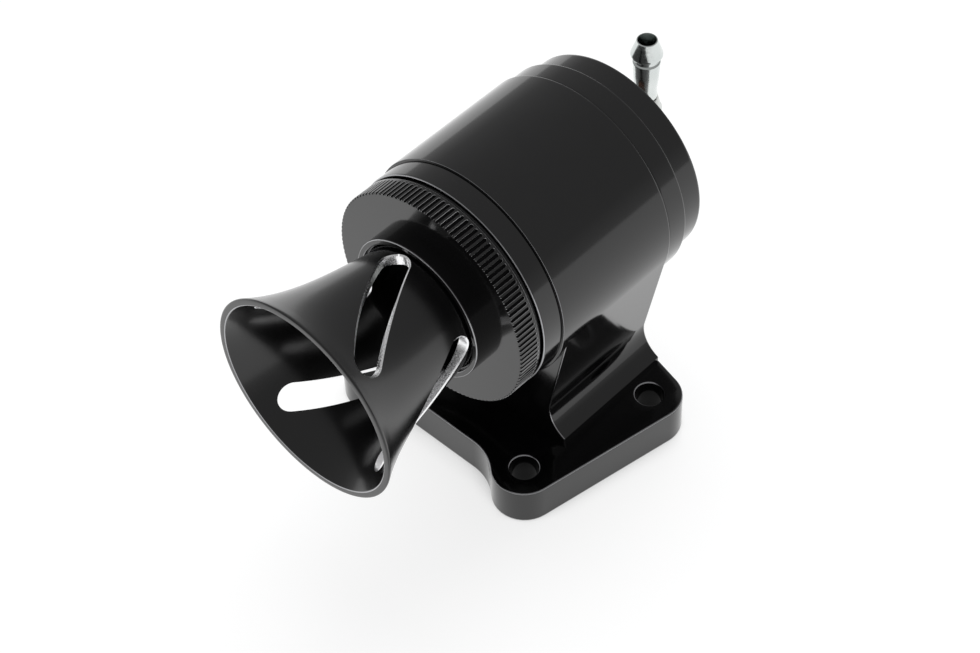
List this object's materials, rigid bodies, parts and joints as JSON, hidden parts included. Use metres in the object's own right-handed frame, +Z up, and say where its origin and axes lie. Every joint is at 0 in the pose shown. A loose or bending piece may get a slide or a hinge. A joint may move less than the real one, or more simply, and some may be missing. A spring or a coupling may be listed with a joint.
{
  "type": "blow off valve",
  "caption": "Atmospheric blow off valve: slotted trumpet, knurled front cap, barrel with a sprung piston on a three-bolt flange, barbed vacuum elbow behind.",
  "frame": {"origin": "middle of the object's bounding box in plan, on the mounting face of the flange", "axes": "+Z up from the flange's face, +Y along the barrel from the trumpet's mouth to the vacuum elbow, +X to the flange's long side"},
  "size_m": [0.068, 0.1098, 0.077],
  "materials": {
    "black_anodised": "black anodised, satin to glossy",
    "piston_alloy": "turned and clear anodised",
    "seal_rubber": "moulded",
    "plated_steel": "zinc plated",
    "spring_steel": "bright drawn wire",
    "fibre": "pressed fibre"
  },
  "bodies": {
    "housing": {"valve_body": "black_anodised", "front_cap": "black_anodised", "front_cap_seal": "seal_rubber", "horn": "black_anodised", "horn_seal": "seal_rubber", "horn_ring_nut": "plated_steel", "spring": "spring_steel", "spring_shim": "plated_steel", "rear_cap": "black_anodised", "rear_cap_seal": "seal_rubber", "elbow_block": "plated_steel", "elbow_washer": "fibre", "vacuum_nipple": "plated_steel", "port_seal": "seal_rubber"},
    "piston": {"piston": "piston_alloy", "piston_seal_front": "seal_rubber", "piston_seal_rear": "seal_rubber", "nose_seal": "seal_rubber", "nose_washer": "plated_steel", "nose_screw": "plated_steel"}
  },
  "joints": [
    {"name": "piston_slide", "type": "slide", "parent": "housing", "child": "piston", "axis": [0, 1, 0], "range_m": [0, 0.0055], "stiffness_N_per_m": 2000, "springref_m": -0.01, "deforming": ["spring"]}
  ]
}
